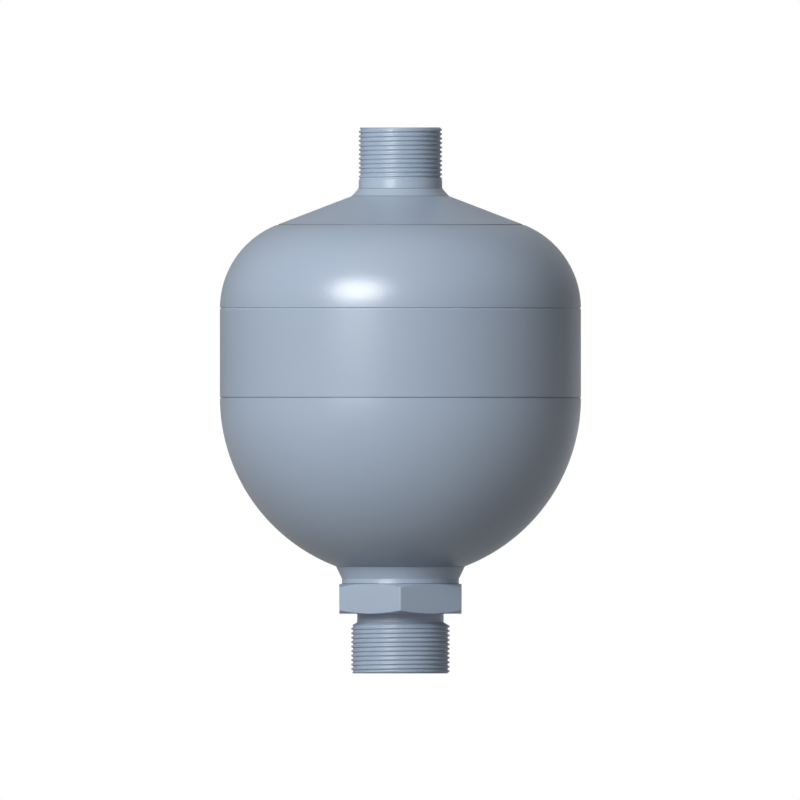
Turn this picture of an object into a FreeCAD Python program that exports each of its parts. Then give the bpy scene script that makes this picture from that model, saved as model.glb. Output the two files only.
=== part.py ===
"""A welded diaphragm accumulator: a pressure vessel of two steel shells with a
rubber diaphragm between its gas side (top) and its fluid side (bottom).

Millimetres, +Z up along the axis. The origin is the centre of the end face of
the fluid port, on which the vessel can stand. All pieces are round about the
axis but for the hexagon of the port fitting and the key socket of the screw.
"""

import FreeCAD, Part
import math
import os
import Sketcher

doc = FreeCAD.newDocument("Accumulator")

# Driving dimensions, in millimetres and degrees.
DIMENSIONS = [
    ("body_diameter", 121.0, "outside diameter of the vessel"),
    ("shell_wall", 6.0, "wall of both shells"),
    ("belt_length", 30.0, "straight belt of the gas shell"),
    ("knuckle_radius", 30.0, "outer radius between belt and cone"),
    ("cone_slope", 21.0, "cone of the gas shell, from the horizontal"),
    ("seam_width", 0.6, "girth weld, along the axis"),
    ("seam_sink", 0.15, "face of that weld below the shells"),
    ("fit_clearance", 0.1, "gap round a piece that is set into another"),
    ("boss_diameter", 28.0, "gas boss, crest of its outside thread"),
    ("boss_standout", 22.13, "gas boss above the cone"),
    ("boss_chamfer", 0.7, "edge at the top of the gas boss"),
    ("boss_step", 0.5, "radial step from the boss to its register"),
    ("boss_weld_width", 2.35, "weld past the boss, measured on the radius"),
    ("boss_weld_rise", 1.83, "height of that weld on the boss"),
    ("recess_diameter", 17.0, "recess for the head of the charging screw"),
    ("recess_depth", 10.0, "depth of that recess"),
    ("tapped_depth", 14.0, "tapped hole below the recess"),
    ("gas_hole_diameter", 4.0, "hole from the tapped hole to the gas side"),
    ("screw_diameter", 8.0, "charging screw, crest of its thread"),
    ("screw_gap", 0.05, "radial gap of the screw in its hole"),
    ("screw_length", 12.0, "screw below its head"),
    ("head_diameter", 13.0, "head of the charging screw"),
    ("head_height", 8.0, "height of that head"),
    ("head_chamfer", 0.8, "edge at the top of that head"),
    ("key_width", 6.0, "key socket, across flats"),
    ("key_depth", 5.0, "depth of the key socket"),
    ("washer_diameter", 14.0, "bonded seal under the screw head"),
    ("washer_bore", 10.6, "steel ring of that seal, inside"),
    ("lip_bore", 8.6, "rubber lip of that seal, inside"),
    ("washer_thickness", 1.0, "thickness of that seal"),
    ("stub_diameter", 33.0, "fluid port, crest of its outside thread"),
    ("thread_length", 16.0, "length of that thread"),
    ("stub_chamfer", 0.7, "edge at the end of the port"),
    ("undercut_diameter", 29.0, "undercut between thread and hexagon"),
    ("undercut_slope", 30.0, "flank of the undercut, from the horizontal"),
    ("port_length", 20.0, "end face of the port to the hexagon"),
    ("hex_width", 41.0, "hexagon, across flats"),
    ("hex_height", 10.0, "height of the hexagon"),
    ("hex_inset", 0.15, "chamfer circle inside the flats"),
    ("hex_slope", 18.0, "chamfer of the hexagon, from the horizontal"),
    ("collar_diameter", 39.2, "collar between hexagon and shell"),
    ("collar_length", 5.16, "length of the collar"),
    ("port_weld_width", 2.0, "weld round the collar, on the radius"),
    ("port_weld_drop", 3.46, "height of that weld on the collar"),
    ("spigot_diameter", 30.0, "spigot of the fitting in the shell"),
    ("bore_diameter", 18.63, "inside thread of the port, core diameter"),
    ("bore_depth", 14.0, "depth of that thread"),
    ("mouth_diameter", 21.4, "countersink at the mouth of the bore"),
    ("passage_diameter", 12.0, "fluid passage to the seat"),
    ("membrane_thickness", 2.5, "diaphragm"),
    ("ledge_depth", 8.4, "ledge for the bead, below the girth weld"),
    ("ring_bore_wall", 4.0, "shell wall left round the clamp ring"),
    ("bead_height", 4.5, "bead of the diaphragm at its outside"),
    ("bead_slope", 15.0, "wedge of the bead, from the horizontal"),
    ("ring_width", 4.4, "clamp ring, measured on the radius"),
    ("ring_rise", 5.0, "clamp ring above the girth weld"),
    ("ring_top_chamfer", 2.4, "edge that the inverted diaphragm lies on"),
    ("ring_foot_chamfer", 0.6, "edge above the bead"),
    ("hub_diameter", 32.0, "thick middle of the diaphragm"),
    ("hub_height", 10.0, "height of that hub above the seat"),
    ("hub_slope", 20.0, "side of the hub, from the vertical"),
    ("button_diameter", 24.0, "valve button"),
    ("button_thickness", 3.0, "disc of the button"),
    ("button_chamfer", 0.5, "lower edge of the disc"),
    ("stem_diameter", 6.0, "stem of the button in the hub"),
    ("stem_length", 3.0, "length of that stem"),
    ("anchor_diameter", 10.0, "head of the stem in the rubber"),
    ("anchor_height", 2.0, "height of that head"),
]

# Levels and radii that follow from the driving dimensions.
LEVELS = [
    ("outer_radius", "Sizes.body_diameter / 2"),
    ("inner_radius", "outer_radius - Sizes.shell_wall"),
    ("boss_radius", "Sizes.boss_diameter / 2"),
    ("collar_radius", "Sizes.collar_diameter / 2"),
    ("spigot_radius", "Sizes.spigot_diameter / 2"),
    ("shell_hole_radius", "spigot_radius + Sizes.fit_clearance"),
    ("register_radius", "boss_radius - Sizes.boss_step"),
    ("boss_hole_radius", "register_radius + Sizes.fit_clearance"),
    ("hex_top", "Sizes.port_length + Sizes.hex_height"),
    ("spot_face", "hex_top + Sizes.collar_length"),
    ("girth", "spot_face + sqrt(outer_radius ^ 2 - collar_radius ^ 2)"),
    ("seat", "girth - sqrt(inner_radius ^ 2 - spigot_radius ^ 2)"),
    ("belt_top", "girth + Sizes.belt_length"),
    ("knuckle_offset", "outer_radius - Sizes.knuckle_radius"),
    ("inner_knuckle", "Sizes.knuckle_radius - Sizes.shell_wall"),
    ("cone_radius", "knuckle_offset + Sizes.knuckle_radius * sin(Sizes.cone_slope)"),
    ("cone_foot", "belt_top + Sizes.knuckle_radius * cos(Sizes.cone_slope)"),
    ("inner_cone_radius", "knuckle_offset + inner_knuckle * sin(Sizes.cone_slope)"),
    ("inner_cone_foot", "belt_top + inner_knuckle * cos(Sizes.cone_slope)"),
    ("cone_rise", "tan(Sizes.cone_slope)"),
    ("cone_at_boss", "cone_foot + (cone_radius - boss_radius) * cone_rise"),
    ("boss_foot", "cone_at_boss - Sizes.shell_wall / cos(Sizes.cone_slope)"),
    ("boss_shoulder", "cone_at_boss + Sizes.boss_weld_rise"),
    ("boss_top", "cone_at_boss + Sizes.boss_standout"),
    ("recess_floor", "boss_top - Sizes.recess_depth"),
    ("head_foot", "recess_floor + Sizes.washer_thickness"),
    ("head_top", "head_foot + Sizes.head_height"),
    ("ledge", "girth - Sizes.ledge_depth"),
    ("ring_seat_radius", "outer_radius - Sizes.ring_bore_wall"),
    ("ring_radius", "ring_seat_radius - Sizes.fit_clearance"),
    ("ring_inner_radius", "ring_radius - Sizes.ring_width"),
    ("ring_top", "girth + Sizes.ring_rise"),
    ("bead_top", "ledge + Sizes.bead_height"),
    ("bead_rise", "tan(Sizes.bead_slope)"),
    ("ring_foot", "bead_top + Sizes.fit_clearance"),
    ("membrane_radius", "inner_radius - Sizes.fit_clearance"),
    ("membrane_inner_radius", "membrane_radius - Sizes.membrane_thickness"),
    ("bead_lip_level", "bead_top - Sizes.ring_width * bead_rise"),
    ("hub_foot", "seat + Sizes.fit_clearance"),
    ("hub_top", "seat + Sizes.hub_height"),
    ("hub_radius", "Sizes.hub_diameter / 2"),
    ("disc_top", "seat + Sizes.button_thickness"),
    ("stem_top", "disc_top + Sizes.stem_length"),
    ("anchor_top", "stem_top + Sizes.anchor_height"),
]


def make_sheet(label, rows):
    """One row per value: its name, the value or formula, and what it is."""
    sheet = doc.addObject("Spreadsheet::Sheet", label)
    for line, (alias, content, *note) in enumerate(rows, start=1):
        sheet.set(f"A{line}", alias)
        sheet.set(f"B{line}", str(content))
        sheet.setAlias(f"B{line}", alias)
        for words in note:
            sheet.set(f"C{line}", words)
    doc.recompute()
    return sheet


sizes = make_sheet("Sizes", DIMENSIONS)
levels = make_sheet("Levels", [(alias, "=" + formula) for alias, formula in LEVELS])


def new_body(label):
    return doc.addObject("PartDesign::Body", label)


def new_sketch(body, name, plane):
    """An empty sketch on one of the body's own origin planes."""
    sketch = body.newObject("Sketcher::SketchObject", name)
    for feature in body.Origin.OriginFeatures:
        if feature.Role == plane:
            sketch.AttachmentSupport = (feature, [""])
    sketch.MapMode = "FlatFace"
    return sketch


def bind(sketch, constraint, formula):
    """Add a driving constraint and tie its value to a formula of the sheets."""
    index = sketch.addConstraint(constraint)
    sketch.setExpression(f"Constraints[{index}]", formula)


def hold_point(sketch, edge, end, across, up):
    """Fix an edge's end at its distance from the axis and its height."""
    if across == "0":
        sketch.addConstraint(Sketcher.Constraint("PointOnObject", edge, end, -2))
    elif across:
        distance = sketch.evalExpression(across)
        bind(sketch, Sketcher.Constraint("DistanceX", -1, 1, edge, end, distance), across)
    if up == "0":
        sketch.addConstraint(Sketcher.Constraint("PointOnObject", edge, end, -1))
    elif up:
        distance = sketch.evalExpression(up)
        bind(sketch, Sketcher.Constraint("DistanceY", -1, 1, edge, end, distance), up)


def draw_outline(sketch, corners):
    """Draw a closed outline through corners (radius, height), as formulas.

    A corner with a third item is reached by an arc, whose centre that item
    gives; its fourth item names the coordinate that places the corner on the
    arc, "radius" or "height".
    """
    points = []
    for corner in corners:
        across = float(sketch.evalExpression(corner[0]))
        up = float(sketch.evalExpression(corner[1]))
        points.append(FreeCAD.Vector(across, up, 0))
    edges = []
    for index, corner in enumerate(corners):
        start = points[index - 1]
        end = points[index]
        if len(corner) == 2:
            edge = sketch.addGeometry(Part.LineSegment(start, end), False)
            edges.append((edge, 1, 2))
            hold_point(sketch, edge, 2, corner[0], corner[1])
            continue
        centre_across, centre_up = corner[2]
        centre = FreeCAD.Vector(
            float(sketch.evalExpression(centre_across)),
            float(sketch.evalExpression(centre_up)),
            0,
        )
        first = math.atan2(start.y - centre.y, start.x - centre.x)
        last = math.atan2(end.y - centre.y, end.x - centre.x)
        circle = Part.Circle(centre, FreeCAD.Vector(0, 0, 1), (start - centre).Length)
        turn = (last - first + math.pi) % (2 * math.pi) - math.pi
        if turn > 0:
            arc = Part.ArcOfCircle(circle, first, first + turn)
            ends = (1, 2)
        else:
            arc = Part.ArcOfCircle(circle, last, last - turn)
            ends = (2, 1)
        edge = sketch.addGeometry(arc, False)
        edges.append((edge, *ends))
        hold_point(sketch, edge, 3, centre_across, centre_up)
        if corner[3] == "radius":
            hold_point(sketch, edge, ends[1], corner[0], None)
        else:
            hold_point(sketch, edge, ends[1], None, corner[1])
    for index, (edge, start_end, _) in enumerate(edges):
        before, _, last_end = edges[index - 1]
        sketch.addConstraint(
            Sketcher.Constraint("Coincident", before, last_end, edge, start_end)
        )


def turn_round(body, name, kind, *outlines):
    """Revolve closed outlines about the axis, to add or to cut material."""
    sketch = new_sketch(body, name + "Outline", "XZ_Plane")
    for corners in outlines:
        draw_outline(sketch, corners)
    feature = body.newObject("PartDesign::" + kind, name)
    feature.Profile = sketch
    feature.ReferenceAxis = (sketch, ["V_Axis"])
    feature.Angle = 360
    doc.recompute()
    return feature


def draw_hexagon(sketch, width):
    """A regular hexagon about the origin, flats across X, from its width."""
    flat = float(sketch.evalExpression(width))
    corner = flat / math.sqrt(3)
    points = []
    for k in range(6):
        turn = math.radians(60 * k)
        points.append(FreeCAD.Vector(corner * math.sin(turn), corner * math.cos(turn), 0))
    for k in range(6):
        sketch.addGeometry(Part.LineSegment(points[k], points[(k + 1) % 6]), False)
    circle = Part.Circle(FreeCAD.Vector(0, 0, 0), FreeCAD.Vector(0, 0, 1), corner)
    rim = sketch.addGeometry(circle, True)
    sketch.addConstraint(Sketcher.Constraint("Coincident", rim, 3, -1, 1))
    for k in range(6):
        sketch.addConstraint(Sketcher.Constraint("Coincident", k, 2, (k + 1) % 6, 1))
        sketch.addConstraint(Sketcher.Constraint("PointOnObject", k, 1, rim))
    for k in range(5):
        sketch.addConstraint(Sketcher.Constraint("Equal", k, k + 1))
    sketch.addConstraint(Sketcher.Constraint("PointOnObject", 0, 1, -2))
    half = f"({width}) / sqrt(3)"
    bind(sketch, Sketcher.Constraint("Radius", rim, corner), half)


def make_fluid_shell():
    """Hemisphere with a spot face and hole for the port fitting; its rim is
    counterbored down to a ledge that carries the bead of the diaphragm."""
    body = new_body("fluid_shell")
    seam_foot = "Levels.girth - Sizes.seam_width / 2"
    centre = ("0", "Levels.girth")
    turn_round(body, "FluidShell", "Revolution", [
        ("Levels.shell_hole_radius", "Levels.spot_face"),
        ("Levels.collar_radius", "Levels.spot_face"),
        ("sqrt(Levels.outer_radius ^ 2 - (Sizes.seam_width / 2) ^ 2)", seam_foot, centre, "height"),
        ("Levels.ring_seat_radius", seam_foot),
        ("Levels.ring_seat_radius", "Levels.ledge"),
        ("sqrt(Levels.inner_radius ^ 2 - Sizes.ledge_depth ^ 2)", "Levels.ledge"),
        ("Levels.shell_hole_radius",
         "Levels.girth - sqrt(Levels.inner_radius ^ 2 - Levels.shell_hole_radius ^ 2)",
         centre, "radius"),
    ])
    return body


def make_gas_shell():
    """Belt, knuckle and cone pressed in one piece, with the hole for the gas
    boss; the rim is counterbored for the clamp ring."""
    body = new_body("gas_shell")
    seam_top = "Levels.girth + Sizes.seam_width / 2"
    knuckle = ("Levels.knuckle_offset", "Levels.belt_top")
    rise = "(Levels.inner_cone_radius - Levels.boss_hole_radius) * Levels.cone_rise"
    outer_rise = "(Levels.cone_radius - Levels.boss_hole_radius) * Levels.cone_rise"
    turn_round(body, "GasShell", "Revolution", [
        ("Levels.ring_seat_radius", seam_top),
        ("Levels.outer_radius", seam_top),
        ("Levels.outer_radius", "Levels.belt_top"),
        ("Levels.cone_radius", "Levels.cone_foot", knuckle, "radius"),
        ("Levels.boss_hole_radius", "Levels.cone_foot + " + outer_rise),
        ("Levels.boss_hole_radius", "Levels.inner_cone_foot + " + rise),
        ("Levels.inner_cone_radius", "Levels.inner_cone_foot"),
        ("Levels.inner_radius", "Levels.belt_top", knuckle, "height"),
        ("Levels.inner_radius", "Levels.ring_top"),
        ("Levels.ring_seat_radius", "Levels.ring_top"),
    ])
    return body


def make_girth_weld():
    """Seam that joins the shells, run through to the clamp ring behind it."""
    body = new_body("girth_weld")
    foot = "Levels.girth - Sizes.seam_width / 2"
    top = "Levels.girth + Sizes.seam_width / 2"
    turn_round(body, "GirthWeld", "Revolution", [
        ("Levels.ring_seat_radius", foot),
        ("Levels.outer_radius - Sizes.seam_sink", foot),
        ("Levels.outer_radius - Sizes.seam_sink", top),
        ("Levels.ring_seat_radius", top),
    ])
    return body


def make_gas_boss():
    """Turned boss on a register that centres it in the gas shell, with a
    recess, a tapped hole and a small gas hole."""
    body = new_body("gas_boss")
    top = "Levels.boss_top"
    turn_round(body, "Boss", "Revolution", [
        ("0", "Levels.boss_foot"),
        ("Levels.register_radius", "Levels.boss_foot"),
        ("Levels.register_radius", "Levels.boss_shoulder"),
        ("Levels.boss_radius", "Levels.boss_shoulder"),
        ("Levels.boss_radius", top + " - Sizes.boss_chamfer"),
        ("Levels.boss_radius - Sizes.boss_chamfer", top),
        ("0", top),
    ])
    tapped_radius = "Sizes.screw_diameter / 2 + Sizes.screw_gap"
    tapped_foot = "Levels.recess_floor - Sizes.tapped_depth"
    gas_hole = "Sizes.gas_hole_diameter / 2"
    turn_round(body, "BossBore", "Groove", [
        ("0", top),
        ("Sizes.recess_diameter / 2", top),
        ("Sizes.recess_diameter / 2", "Levels.recess_floor"),
        (tapped_radius, "Levels.recess_floor"),
        (tapped_radius, tapped_foot),
        (gas_hole, f"{tapped_foot} - ({tapped_radius} - {gas_hole}) / sqrt(3)"),
        (gas_hole, "Levels.boss_foot"),
        ("0", "Levels.boss_foot"),
    ])
    return body


def make_boss_weld():
    """Fillet weld between the cone of the gas shell and the boss. It fills
    the step above the register."""
    body = new_body("boss_weld")
    turn_round(body, "BossWeld", "Revolution", [
        ("Levels.register_radius",
         "Levels.cone_at_boss + Sizes.boss_step * Levels.cone_rise"),
        ("Levels.boss_radius + Sizes.boss_weld_width",
         "Levels.cone_at_boss - Sizes.boss_weld_width * Levels.cone_rise"),
        ("Levels.boss_radius", "Levels.boss_shoulder"),
        ("Levels.register_radius", "Levels.boss_shoulder"),
    ])
    return body


def make_charging_screw():
    """Socket head screw that closes the gas side; a key turns it."""
    body = new_body("charging_screw")
    radius = "Sizes.screw_diameter / 2"
    foot = "Levels.head_foot - Sizes.screw_length"
    turn_round(body, "Screw", "Revolution", [
        ("0", foot),
        (radius + " - Sizes.head_chamfer", foot),
        (radius, foot + " + Sizes.head_chamfer"),
        (radius, "Levels.head_foot"),
        ("Sizes.head_diameter / 2", "Levels.head_foot"),
        ("Sizes.head_diameter / 2", "Levels.head_top - Sizes.head_chamfer"),
        ("Sizes.head_diameter / 2 - Sizes.head_chamfer", "Levels.head_top"),
        ("0", "Levels.head_top"),
    ])
    sketch = new_sketch(body, "KeyOutline", "XY_Plane")
    sketch.setExpression(".AttachmentOffset.Base.z", "Levels.head_top")
    draw_hexagon(sketch, "Sizes.key_width")
    socket = body.newObject("PartDesign::Pocket", "KeySocket")
    socket.Profile = sketch
    socket.Type = "Length"
    socket.setExpression("Length", "Sizes.key_depth")
    doc.recompute()
    return body


def make_bonded_seal():
    """Seal under the screw head: a steel ring with a rubber lip inside it."""
    ring = new_body("seal_washer")
    lip = new_body("seal_lip")
    for body, inside, outside in (
        (ring, "Sizes.washer_bore / 2", "Sizes.washer_diameter / 2"),
        (lip, "Sizes.lip_bore / 2", "Sizes.washer_bore / 2"),
    ):
        turn_round(body, body.Name + "_section", "Revolution", [
            (inside, "Levels.recess_floor"),
            (outside, "Levels.recess_floor"),
            (outside, "Levels.head_foot"),
            (inside, "Levels.head_foot"),
        ])
    return [ring, lip]


def make_port_fitting():
    """Fluid port, turned from hexagon bar: threaded stub with an undercut, a
    chamfered hexagon, a collar on the shell's spot face and a spigot."""
    body = new_body("port_fitting")
    sketch = new_sketch(body, "HexOutline", "XY_Plane")
    sketch.setExpression(".AttachmentOffset.Base.z", "Sizes.port_length")
    draw_hexagon(sketch, "Sizes.hex_width")
    hexagon = body.newObject("PartDesign::Pad", "Hexagon")
    hexagon.Profile = sketch
    hexagon.Type = "Length"
    hexagon.setExpression("Length", "Sizes.hex_height")
    doc.recompute()
    chamfer_radius = "Sizes.hex_width / 2 - Sizes.hex_inset"
    beyond = "Sizes.hex_width"
    depth = f"({beyond} - ({chamfer_radius})) * tan(Sizes.hex_slope)"
    turn_round(
        body, "HexChamfers", "Groove",
        [
            (chamfer_radius, "Sizes.port_length"),
            (beyond, "Sizes.port_length"),
            (beyond, "Sizes.port_length + " + depth),
        ],
        [
            (chamfer_radius, "Levels.hex_top"),
            (beyond, "Levels.hex_top - " + depth),
            (beyond, "Levels.hex_top"),
        ],
    )
    stub = "Sizes.stub_diameter / 2"
    undercut = "Sizes.undercut_diameter / 2"
    flank = f"({stub} - {undercut}) * tan(Sizes.undercut_slope)"
    turn_round(body, "Turned", "Revolution", [
        ("0", "0"),
        (stub + " - Sizes.stub_chamfer", "0"),
        (stub, "Sizes.stub_chamfer"),
        (stub, "Sizes.thread_length"),
        (undercut, "Sizes.thread_length + " + flank),
        (undercut, "Sizes.port_length"),
        ("Levels.collar_radius", "Sizes.port_length"),
        ("Levels.collar_radius", "Levels.spot_face"),
        ("Levels.spigot_radius", "Levels.spot_face"),
        ("Levels.spigot_radius", "Levels.seat"),
        ("0", "Levels.seat"),
    ])
    bore = "Sizes.bore_diameter / 2"
    mouth = "Sizes.mouth_diameter / 2"
    passage = "Sizes.passage_diameter / 2"
    turn_round(body, "Bore", "Groove", [
        ("0", "0"),
        (mouth, "0"),
        (bore, f"{mouth} - {bore}"),
        (bore, "Sizes.bore_depth"),
        (passage, f"Sizes.bore_depth + ({bore} - {passage}) / sqrt(3)"),
        (passage, "Levels.seat"),
        ("0", "Levels.seat"),
    ])
    return body


def make_port_weld():
    """Fillet weld between the collar and the round of the fluid shell."""
    body = new_body("port_weld")
    outside = "Levels.collar_radius + Sizes.port_weld_width"
    turn_round(body, "PortWeld", "Revolution", [
        ("Levels.collar_radius", "Levels.spot_face", ("0", "Levels.girth"), "radius"),
        ("Levels.collar_radius", "Levels.spot_face - Sizes.port_weld_drop"),
        (outside, f"Levels.girth - sqrt(Levels.outer_radius ^ 2 - ({outside}) ^ 2)"),
    ])
    return body


def make_diaphragm():
    """Moulded rubber cup that lines the fluid shell at rest. Its rim is a
    wedge-shaped bead; its hub is moulded round the valve button."""
    body = new_body("diaphragm")
    gap = "Sizes.fit_clearance"
    centre = ("0", "Levels.girth")
    inner = "Levels.membrane_inner_radius"
    lip_depth = "(Levels.girth - Levels.bead_lip_level)"
    hub_side = "Levels.hub_radius"
    hub_side_level = f"Levels.girth - sqrt({inner} ^ 2 - {hub_side} ^ 2)"
    hub_top_radius = f"{hub_side} - (Levels.hub_top - ({hub_side_level})) * tan(Sizes.hub_slope)"
    turn_round(body, "Membrane", "Revolution", [
        ("0", "Levels.hub_foot"),
        ("sqrt(Levels.membrane_radius ^ 2 - (Levels.girth - Levels.hub_foot) ^ 2)", "Levels.hub_foot"),
        ("sqrt(Levels.membrane_radius ^ 2 - Sizes.ledge_depth ^ 2)", "Levels.ledge", centre, "height"),
        ("Levels.ring_radius", "Levels.ledge"),
        ("Levels.ring_radius", "Levels.bead_top"),
        ("Levels.ring_inner_radius", "Levels.bead_lip_level"),
        (f"sqrt({inner} ^ 2 - {lip_depth} ^ 2)", "Levels.bead_lip_level"),
        (hub_side, hub_side_level, centre, "radius"),
        (hub_top_radius, "Levels.hub_top"),
        ("0", "Levels.hub_top"),
    ])
    turn_round(body, "ButtonCavity", "Groove", [
        ("0", "Levels.hub_foot"),
        (f"Sizes.button_diameter / 2 + {gap}", "Levels.hub_foot"),
        (f"Sizes.button_diameter / 2 + {gap}", f"Levels.disc_top + {gap}"),
        (f"Sizes.stem_diameter / 2 + {gap}", f"Levels.disc_top + {gap}"),
        (f"Sizes.stem_diameter / 2 + {gap}", f"Levels.stem_top - {gap}"),
        (f"Sizes.anchor_diameter / 2 + {gap}", f"Levels.stem_top - {gap}"),
        (f"Sizes.anchor_diameter / 2 + {gap}", f"Levels.anchor_top + {gap}"),
        ("0", f"Levels.anchor_top + {gap}"),
    ])
    return body


def make_valve_button():
    """Disc that closes the fluid passage, with a headed stem in the hub."""
    body = new_body("valve_button")
    disc = "Sizes.button_diameter / 2"
    turn_round(body, "Button", "Revolution", [
        ("0", "Levels.seat"),
        (disc + " - Sizes.button_chamfer", "Levels.seat"),
        (disc, "Levels.seat + Sizes.button_chamfer"),
        (disc, "Levels.disc_top"),
        ("Sizes.stem_diameter / 2", "Levels.disc_top"),
        ("Sizes.stem_diameter / 2", "Levels.stem_top"),
        ("Sizes.anchor_diameter / 2", "Levels.stem_top"),
        ("Sizes.anchor_diameter / 2", "Levels.anchor_top"),
        ("0", "Levels.anchor_top"),
    ])
    return body


def make_clamp_ring():
    """Steel ring that wedges the bead on its ledge and backs the girth weld;
    the shoulder of the gas shell holds it down."""
    body = new_body("clamp_ring")
    foot = "Sizes.ring_foot_chamfer"
    inner_foot = "Levels.ring_foot - Sizes.ring_width * Levels.bead_rise"
    turn_round(body, "ClampRing", "Revolution", [
        (f"Levels.ring_inner_radius + {foot}", f"{inner_foot} + {foot} * Levels.bead_rise"),
        ("Levels.ring_radius", "Levels.ring_foot"),
        ("Levels.ring_radius", "Levels.ring_top"),
        ("Levels.ring_inner_radius + Sizes.ring_top_chamfer", "Levels.ring_top"),
        ("Levels.ring_inner_radius", "Levels.ring_top - Sizes.ring_top_chamfer"),
        ("Levels.ring_inner_radius", f"{inner_foot} + {foot}"),
    ])
    return body


pieces = [
    make_port_fitting(),
    make_port_weld(),
    make_fluid_shell(),
    make_diaphragm(),
    make_valve_button(),
    make_clamp_ring(),
    make_girth_weld(),
    make_gas_shell(),
    make_gas_boss(),
    make_boss_weld(),
    *make_bonded_seal(),
    make_charging_screw(),
]
doc.recompute()

for item in doc.Objects:
    if "Invalid" in item.State or "Error" in item.State:
        raise RuntimeError(f"{item.Label} failed: {item.State}")
for piece in pieces:
    if piece.Shape.isNull() or not piece.Shape.isValid():
        raise RuntimeError(f"{piece.Label} has no valid solid")

os.makedirs("parts", exist_ok=True)
for piece in pieces:
    piece.Shape.exportStep(f"parts/{piece.Label}.step")
    print(f"{piece.Label}: {piece.Shape.Volume:.1f} mm3, {len(piece.Shape.Solids)} solid")
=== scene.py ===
"""The looks of a welded diaphragm accumulator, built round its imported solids.

Each piece made here is a profile carried round the vessel's axis; hexagons,
threads, ripples and a knurl change it as it goes. A profile has rows of
(radius, height), measured from the axis and from the end of the fluid port.
Lengths are in millimetres and angles in degrees, but turns round the axis are
in radians and the studio is in metres.
"""

import bmesh
import bpy
import numpy as np
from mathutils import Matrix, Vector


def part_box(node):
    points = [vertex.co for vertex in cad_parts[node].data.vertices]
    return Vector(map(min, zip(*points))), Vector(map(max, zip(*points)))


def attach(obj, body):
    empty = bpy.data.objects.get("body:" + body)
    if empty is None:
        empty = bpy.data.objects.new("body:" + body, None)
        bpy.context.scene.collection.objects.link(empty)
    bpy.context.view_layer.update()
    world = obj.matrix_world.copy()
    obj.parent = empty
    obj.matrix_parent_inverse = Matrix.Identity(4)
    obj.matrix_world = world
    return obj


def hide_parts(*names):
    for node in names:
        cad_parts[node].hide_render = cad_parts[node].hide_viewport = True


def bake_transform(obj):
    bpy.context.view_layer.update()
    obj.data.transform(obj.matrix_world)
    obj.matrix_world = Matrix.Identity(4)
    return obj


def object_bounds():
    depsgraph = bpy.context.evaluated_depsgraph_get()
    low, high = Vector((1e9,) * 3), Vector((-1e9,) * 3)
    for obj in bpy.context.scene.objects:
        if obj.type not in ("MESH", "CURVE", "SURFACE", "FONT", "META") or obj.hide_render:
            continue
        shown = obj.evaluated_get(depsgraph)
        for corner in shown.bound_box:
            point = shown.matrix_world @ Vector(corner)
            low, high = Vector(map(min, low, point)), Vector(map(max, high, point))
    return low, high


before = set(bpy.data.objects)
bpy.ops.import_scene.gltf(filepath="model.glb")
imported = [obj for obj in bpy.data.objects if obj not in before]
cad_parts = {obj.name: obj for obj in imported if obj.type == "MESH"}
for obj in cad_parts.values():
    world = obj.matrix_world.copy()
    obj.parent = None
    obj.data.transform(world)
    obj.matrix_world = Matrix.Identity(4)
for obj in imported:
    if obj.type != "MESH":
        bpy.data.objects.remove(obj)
cad_low, cad_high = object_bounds()
MM = 0.001


# Fluid shell: the lower half of the pressure vessel, deep-drawn from steel
# plate to a hemisphere. Its foot is spot-faced for the port fitting, and its
# rim is counterbored down to a ledge for the bead of the diaphragm.
outer_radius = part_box("gas_shell")[1].x / MM
shell_wall = 6.0
inner_radius = outer_radius - shell_wall
seam_low, seam_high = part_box("girth_weld")
girth = (seam_low.z + seam_high.z) / 2 / MM
seam_half = (seam_high.z - seam_low.z) / 2 / MM
spot_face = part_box("fluid_shell")[0].z / MM
collar_radius = 19.6
port_hole_radius = 15.1
ring_seat_depth = 4.0
ring_seat_radius = outer_radius - ring_seat_depth
ledge_depth = 8.4
ledge = girth - ledge_depth
edge_round = 0.15
merge_within = 0.0005
sharp_from = 40.0
drift_size = 35.0
sheen_drift = 0.02
film_size = 1.5
film_depth = 0.035
grain_size = 0.4
grain_depth = 0.006
coated_tool_depth = 0.008


def rows_at(across, up):
    """Rows of (radius, height, rounding) at those places, with no rounding."""
    across, up = np.broadcast_arrays(across, up)
    return np.stack([across, up, np.zeros(across.shape)], -1)


def arc(centre, radius, first, last, count):
    """Rows at centre + radius * (cos a, sin a), for a from first to last in
    degrees."""
    turn = np.radians(np.linspace(first, last, count))
    return rows_at(centre[0] + radius * np.cos(turn), centre[1] + radius * np.sin(turn))


def angle_out(radius, across):
    """The angle in degrees, negative below the girth, at which a sphere of
    that radius about the vessel's middle is that far from the axis."""
    return -np.degrees(np.arccos(across / radius))


def angle_up(radius, level):
    """The same angle, from the height that the sphere has there."""
    return -np.degrees(np.arcsin((girth - level) / radius))


def even_turns(count):
    """The angles, in radians, of that many equal steps round the axis."""
    return np.arange(count) * 2 * np.pi / count


def with_turns(rows, turns):
    """Rows of (radius, height, rounding) that are the same all round."""
    return np.repeat(np.asarray(rows, float)[:, None], len(turns), 1)


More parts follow.
